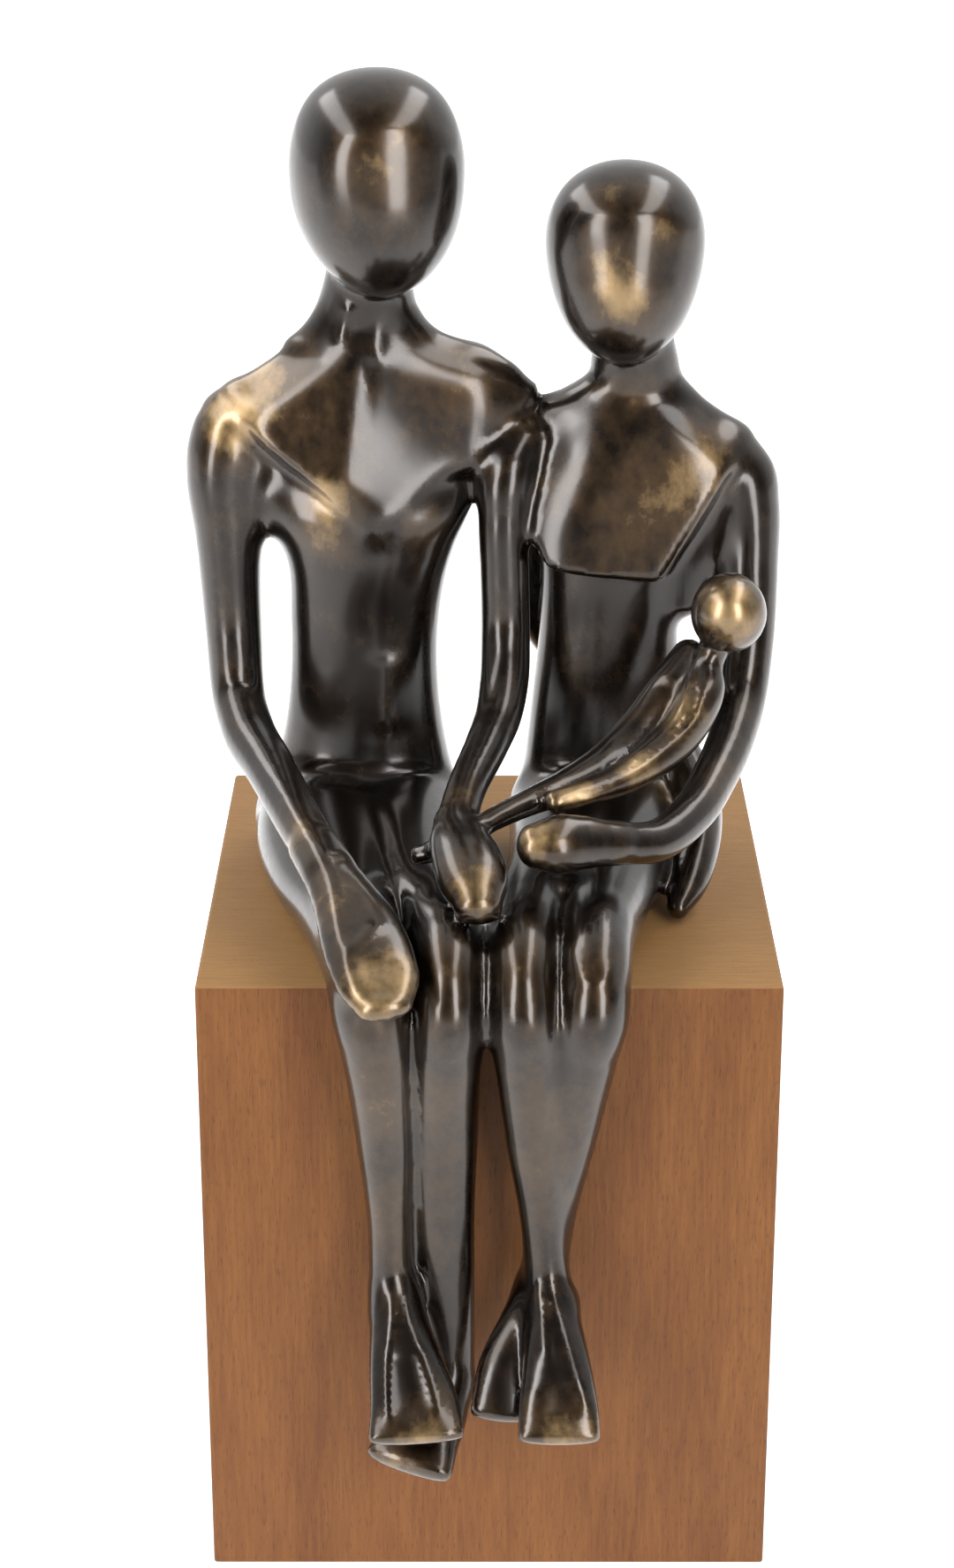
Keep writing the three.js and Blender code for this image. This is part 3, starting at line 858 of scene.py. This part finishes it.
def mesh_skin(low, high, cell):
    """The skin as quads: one point in each cell that it passes through, joined across shared edges."""
    low, high = np.asarray(low, float), np.asarray(high, float)
    cells = cells_at_skin(low, high, cell)
    span = np.ceil((high - low) / cell).astype(np.int64) + 4

    def key(c):
        return (c[:, 0] * span[1] + c[:, 1]) * span[2] + c[:, 2]

    corners = (cells[:, None] + KIDS[None]).reshape(-1, 3)
    _, first, back = np.unique(key(corners), return_index=True, return_inverse=True)
    values = casting(low + corners[first] * cell)[back].reshape(-1, 8)
    mixed = (values.min(1) < 0) & (values.max(1) >= 0)
    cells, values = cells[mixed], values[mixed]

    total = np.zeros((len(cells), 3))
    count = np.zeros(len(cells))
    for a, b in CELL_EDGES:
        va, vb = values[:, a], values[:, b]
        crossed = (va < 0) != (vb < 0)
        t = np.where(crossed, va / np.where(crossed, va - vb, 1), 0)[:, None]
        total[crossed] += (KIDS[a] * (1 - t) + KIDS[b] * t)[crossed]
        count[crossed] += 1
    points = low + (cells + total / count[:, None]) * cell

    keys = key(cells)
    order = np.argsort(keys)
    ranked = keys[order]

    def find(c):
        wanted = key(c)
        place = np.clip(np.searchsorted(ranked, wanted), 0, len(ranked) - 1)
        return order[place]

    quads = []
    for (near, far), (u, w) in zip([(0, 4), (0, 2), (0, 1)], [(1, 2), (2, 0), (0, 1)]):
        crossed = (values[:, near] < 0) != (values[:, far] < 0)
        base = cells[crossed]
        du = np.eye(3, dtype=int)[u]
        dw = np.eye(3, dtype=int)[w]
        quad = np.stack([find(base), find(base - du), find(base - du - dw), find(base - dw)], 1)
        outward = values[crossed, near] < 0
        quad[~outward] = quad[~outward][:, ::-1]
        quads.append(quad)
    return points, np.vstack(quads)


TAPS = np.array([[1, -1, -1], [-1, -1, 1], [-1, 1, -1], [1, 1, 1]], float)


def slope_of(field, points, e=0.12):
    """The field's gradient from four samples around each point."""
    return sum(field(points + tap * e)[:, None] * tap for tap in TAPS) / (4 * e)


def onto_skin(points, limit, rounds=2):
    """Moves points onto the skin, along the gradient."""
    start = points.copy()
    for _ in range(rounds):
        slope = slope_of(casting, points)
        square = np.maximum((slope * slope).sum(1), 0.1)
        points = points - (casting(points) / square)[:, None] * slope
        shift = points - start
        far = np.linalg.norm(shift, axis=1, keepdims=True)
        points = start + shift * np.minimum(1, limit / np.maximum(far, 1e-9))
    return points


def neighbour_mean(values, quads):
    """For each point the mean of the values at the points it is joined to."""
    ends = np.vstack([quads[:, [0, 1]], quads[:, [1, 2]], quads[:, [2, 3]], quads[:, [3, 0]]])
    ends = np.vstack([ends, ends[:, ::-1]])
    count = np.bincount(ends[:, 0], minlength=len(values))
    columns = values.reshape(len(values), -1).T
    total = [np.bincount(ends[:, 0], weights=column[ends[:, 1]], minlength=len(values)) / count for column in columns]
    return np.stack(total, 1).reshape(values.shape)


def relaxed(points, quads, rounds):
    """Evens the points out without shrinking the form."""
    for _ in range(rounds):
        for push in (0.5, -0.52):
            points = points + push * (neighbour_mean(points, quads) - points)
    return points


def rubbing(points, quads, cell):
    """How far each point is rubbed: on ridges and in the places that hands and cloth reach, not in hollows."""
    outward = unit(slope_of(casting, points))
    bend = ((points - neighbour_mean(points, quads)) * outward).sum(1) / cell**2
    for _ in range(4):
        bend = 0.5 * bend + 0.5 * neighbour_mean(bend, quads)
    amount = np.clip(bend * 1.6, -0.5, 0.5)
    for x, y, z, radius, strength in RUBBED:
        far = ((points - (x, y, z)) ** 2).sum(1) / radius**2
        amount = amount + strength * np.exp(-far)
    return np.clip(amount, 0, 1)


def mesh_object(name, points, faces):
    """An object from points in metres and quads, smooth shaded."""
    mesh = bpy.data.meshes.new(name)
    mesh.vertices.add(len(points))
    mesh.vertices.foreach_set("co", points.astype(np.float32).ravel())
    mesh.loops.add(faces.size)
    mesh.loops.foreach_set("vertex_index", faces.astype(np.int32).ravel())
    mesh.polygons.add(len(faces))
    mesh.polygons.foreach_set("loop_start", np.arange(0, faces.size, 4, dtype=np.int32))
    mesh.update(calc_edges=True)
    mesh.validate()
    mesh.shade_smooth()
    obj = bpy.data.objects.new(name, mesh)
    bpy.context.scene.collection.objects.link(obj)
    return obj


def build_casting():
    cell = FINE_CELL
    points, quads = mesh_skin((-75, -112, 36), (73, 46, 346), cell)
    points = relaxed(onto_skin(points, cell), quads, 3)
    points = onto_skin(points, cell * 0.5, rounds=1)
    obj = mesh_object("family_bronze", points * MM, quads)
    layer = obj.data.attributes.new("rubbed", "FLOAT", "POINT")
    layer.data.foreach_set("value", rubbing(points, quads, cell).astype(np.float32))
    return obj


def build_block():
    """The block with softly rounded edges."""
    form = bmesh.new()
    bmesh.ops.create_cube(form, size=1)
    bmesh.ops.scale(form, vec=(BLOCK_WIDTH * MM, BLOCK_DEPTH * MM, BLOCK_HEIGHT * MM), verts=form.verts)
    bmesh.ops.translate(form, vec=(0, 0, BLOCK_HEIGHT * MM / 2), verts=form.verts)
    bmesh.ops.bevel(form, geom=list(form.edges), offset=0.9 * MM, segments=3, profile=0.6, affect="EDGES")
    mesh = bpy.data.meshes.new("block_wood")
    form.to_mesh(mesh)
    form.free()
    mesh.shade_smooth()
    obj = bpy.data.objects.new("block_wood", mesh)
    bpy.context.scene.collection.objects.link(obj)
    return obj


class Nodes:
    """Short calls for adding and joining shader nodes."""

    def __init__(self, name):
        self.material = bpy.data.materials.new(name)
        self.material.use_nodes = True
        self.tree = self.material.node_tree
        self.shader = self.tree.nodes["Principled BSDF"]

    def add(self, kind, settings=None, **inputs):
        node = self.tree.nodes.new(kind)
        for key, value in (settings or {}).items():
            setattr(node, key, value)
        for key, value in inputs.items():
            self.feed(node.inputs[key.replace("_", " ")], value)
        return node

    def feed(self, socket, value):
        if isinstance(value, bpy.types.NodeSocket):
            self.tree.links.new(value, socket)
        else:
            socket.default_value = value

    def math(self, operation, a, b=0.0, clamp=False):
        node = self.add("ShaderNodeMath", {"operation": operation, "use_clamp": clamp})
        self.feed(node.inputs[0], a)
        self.feed(node.inputs[1], b)
        return node.outputs[0]

    def mix(self, share, a, b):
        node = self.add("ShaderNodeMix", {"data_type": "RGBA"})
        self.feed(node.inputs["Factor"], share)
        self.feed(node.inputs["A"], a)
        self.feed(node.inputs["B"], b)
        return node.outputs["Result"]

    def scaled(self, size):
        """Object coordinates, divided by a size in millimetres in each direction."""
        place = self.add("ShaderNodeTexCoord").outputs["Object"]
        node = self.add("ShaderNodeMapping", Vector=place)
        node.inputs["Scale"].default_value = [1 / (s * MM) for s in size]
        return node.outputs["Vector"]

    def noise(self, size, detail=3.0, roughness=0.5, distortion=0.0):
        node = self.add(
            "ShaderNodeTexNoise",
            Vector=self.scaled(size),
            Scale=1.0,
            Detail=detail,
            Roughness=roughness,
            Distortion=distortion,
        )
        return node.outputs["Fac"]

    def range(self, value, low, high, to_low=0.0, to_high=1.0):
        node = self.add(
            "ShaderNodeMapRange",
            {"clamp": True},
            Value=value,
            From_Min=low,
            From_Max=high,
            To_Min=to_low,
            To_Max=to_high,
        )
        return node.outputs["Result"]

    def bump(self, height, distance, strength=1.0):
        node = self.add("ShaderNodeBump", Height=height, Distance=distance * MM, Strength=strength)
        self.feed(self.shader.inputs["Normal"], node.outputs["Normal"])


def bronze_material():
    n = Nodes("rubbed_bronze")
    rubbed = n.add("ShaderNodeAttribute", {"attribute_name": "rubbed"}).outputs["Fac"]
    cloud = n.noise((16, 16, 16), detail=3)
    mottle = n.noise((3.5, 3.5, 4.5), detail=5, roughness=0.65)
    share = n.math("ADD", n.math("MULTIPLY", cloud, 0.45), n.math("MULTIPLY", mottle, 0.55))
    uneven = n.range(share, 0.35, 0.65, -0.22, 0.22)
    rub = n.math("ADD", n.math("MULTIPLY", rubbed, 0.95), uneven, clamp=True)
    dark = (0.02, 0.013, 0.009, 1)
    brown = (0.08, 0.048, 0.023, 1)
    gold = (0.42, 0.28, 0.13, 1)
    colour = n.mix(n.range(rub, 0.0, 0.5), dark, brown)
    colour = n.mix(n.range(rub, 0.45, 1.0), colour, gold)
    n.feed(n.shader.inputs["Base Color"], colour)
    n.shader.inputs["Metallic"].default_value = 1.0
    n.feed(n.shader.inputs["Roughness"], n.range(mottle, 0.3, 0.7, 0.32, 0.46))
    n.shader.inputs["Coat Weight"].default_value = 1.0
    n.shader.inputs["Coat Roughness"].default_value = 0.18
    n.shader.inputs["Coat IOR"].default_value = 1.62
    n.bump(n.noise((1.6, 1.6, 1.6), detail=4), 0.03)
    return n.material


def wood_material():
    n = Nodes("block_wood")
    # The upward-facing top gets a lighter tan than the sides. This is partly painted light from above and a painted
    # sheen, and partly the top's own grain lines.
    facing = n.add("ShaderNodeNewGeometry").outputs["Normal"]
    top_painted_light_share = n.range(n.add("ShaderNodeSeparateXYZ", Vector=facing).outputs["Z"], 0.5, 0.9)
    figure = n.noise((14, 14, 90), detail=4, roughness=0.6)
    streak = n.noise((0.9, 0.9, 14), detail=5, roughness=0.65)
    share = n.math("ADD", n.math("MULTIPLY", figure, 0.5), n.math("MULTIPLY", streak, 0.5))
    side = n.mix(n.range(share, 0.36, 0.64), (0.145, 0.047, 0.01, 1), (0.235, 0.092, 0.022, 1))
    pores = n.range(n.noise((0.32, 0.32, 3.2), detail=2), 0.6, 0.7)
    side = n.mix(n.math("MULTIPLY", pores, 0.45), side, (0.07, 0.024, 0.008, 1))
    lines = n.noise((9, 0.5, 9), detail=5, roughness=0.7)
    top_grain_and_painted_light = n.mix(n.range(lines, 0.3, 0.7), (0.31, 0.155, 0.05, 1), (0.41, 0.22, 0.078, 1))
    n.feed(n.shader.inputs["Base Color"], n.mix(top_painted_light_share, side, top_grain_and_painted_light))
    n.feed(n.shader.inputs["Roughness"], n.range(streak, 0.3, 0.7, 0.5, 0.62))
    n.shader.inputs["Specular IOR Level"].default_value = 0.35
    n.bump(n.math("SUBTRACT", streak, n.math("MULTIPLY", pores, 0.8)), 0.06)
    return n.material


def floor_material():
    n = Nodes("pale_floor_painted_glow")
    n.shader.inputs["Base Color"].default_value = (0.68, 0.68, 0.68, 1)
    n.shader.inputs["Roughness"].default_value = 0.7
    # Painted light: the floor glows white behind the block, rising from no glow in front, so that it reads as a lit
    # white backdrop.
    n.shader.inputs["Emission Color"].default_value = (1, 1, 1, 1)
    place = n.add("ShaderNodeTexCoord").outputs["Object"]
    depth = n.add("ShaderNodeSeparateXYZ", Vector=place).outputs["Y"]
    n.feed(n.shader.inputs["Emission Strength"], n.range(depth, -0.4, -0.08, 0.0, 0.9))
    return n.material


def build_floor():
    points = np.array([(-6, -6, 0), (6, -6, 0), (6, 6, 0), (-6, 6, 0)], float)
    floor = mesh_object("floor", points, np.array([[0, 1, 2, 3]]))
    floor.data.materials.append(floor_material())


def aim(obj, target):
    """Turns a light or camera towards a point."""
    direction = obj.location - target
    obj.rotation_euler = direction.to_track_quat("Z", "Y").to_euler()


def softbox(name, azimuth, elevation, distance, width, height, power, target):
    """A rectangular light in a direction from the target: azimuth 0 is the camera's side, to the right positive."""
    from_target = (
        math.sin(math.radians(azimuth)) * math.cos(math.radians(elevation)),
        -math.cos(math.radians(azimuth)) * math.cos(math.radians(elevation)),
        math.sin(math.radians(elevation)),
    )
    data = bpy.data.lights.new(name, "AREA")
    data.shape = "RECTANGLE"
    data.size = width
    data.size_y = height
    data.energy = power
    lamp = bpy.data.objects.new(name, data)
    bpy.context.scene.collection.objects.link(lamp)
    lamp.location = [t + distance * d for t, d in zip(target, from_target)]
    aim(lamp, bpy.data.objects["middle"].location)
    lamp.visible_camera = False
    return lamp


def build_lights():
    target = (0, 0, 0.2)
    middle = bpy.data.objects.new("middle", None)
    bpy.context.scene.collection.objects.link(middle)
    middle.location = target
    softbox("left_box", -40, 14, 1.3, 0.38, 1.0, 8.5, target)
    softbox("right_box", 27, 14, 1.3, 0.38, 1.0, 8.5, target)
    softbox("left_bar", -90, 47, 1.3, 2.2, 0.4, 10, target)
    softbox("right_bar", 90, 60, 1.3, 2.2, 0.4, 10, target)


def build_world():
    """White to the camera, and to the bronze white behind and at the sides and dark in front, as in a studio."""
    world = bpy.data.worlds.new("studio")
    bpy.context.scene.world = world
    world.use_nodes = True
    tree = world.node_tree
    tree.nodes.clear()
    link = tree.links.new
    direction = tree.nodes.new("ShaderNodeTexCoord").outputs["Generated"]
    parts = tree.nodes.new("ShaderNodeSeparateXYZ")
    link(direction, parts.inputs[0])
    ramp = tree.nodes.new("ShaderNodeMapRange")
    ramp.interpolation_type = "SMOOTHSTEP"
    link(parts.outputs["Y"], ramp.inputs["Value"])
    ramp.inputs["From Min"].default_value = -0.6
    ramp.inputs["From Max"].default_value = 0.5
    ramp.inputs["To Min"].default_value = 0.04
    ramp.inputs["To Max"].default_value = 0.95
    around = tree.nodes.new("ShaderNodeBackground")
    link(ramp.outputs["Result"], around.inputs["Strength"])
    seen = tree.nodes.new("ShaderNodeBackground")
    seen.inputs["Color"].default_value = (1, 1, 1, 1)
    path = tree.nodes.new("ShaderNodeLightPath")
    choose = tree.nodes.new("ShaderNodeMixShader")
    link(path.outputs["Is Camera Ray"], choose.inputs[0])
    link(around.outputs[0], choose.inputs[1])
    link(seen.outputs[0], choose.inputs[2])
    output = tree.nodes.new("ShaderNodeOutputWorld")
    link(choose.outputs[0], output.inputs["Surface"])


def build_camera():
    data = bpy.data.cameras.new("camera")
    data.lens = 75.27
    data.sensor_width = 36
    data.clip_start = 0.05
    camera = bpy.data.objects.new("camera", data)
    bpy.context.scene.collection.objects.link(camera)
    camera.location = (-0.0021, -0.7213, 0.4546)
    camera.rotation_euler = (math.radians(90 - 21.34), 0, math.radians(0.053))
    bpy.context.scene.camera = camera


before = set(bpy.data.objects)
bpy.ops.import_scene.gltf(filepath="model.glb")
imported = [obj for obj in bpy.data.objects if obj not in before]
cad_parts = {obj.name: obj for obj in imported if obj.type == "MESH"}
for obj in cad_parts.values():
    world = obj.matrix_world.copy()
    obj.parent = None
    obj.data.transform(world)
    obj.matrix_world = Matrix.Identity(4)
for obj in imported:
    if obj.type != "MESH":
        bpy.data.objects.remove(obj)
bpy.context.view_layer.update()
bpy.context.scene.view_settings.view_transform = "Standard"

family = build_casting()
family.data.materials.append(bronze_material())
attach(family, "root")
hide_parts("family_group")

block = build_block()
block.data.materials.append(wood_material())
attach(block, "root")
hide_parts("wood_block")

build_floor()
build_world()
build_lights()
build_camera()
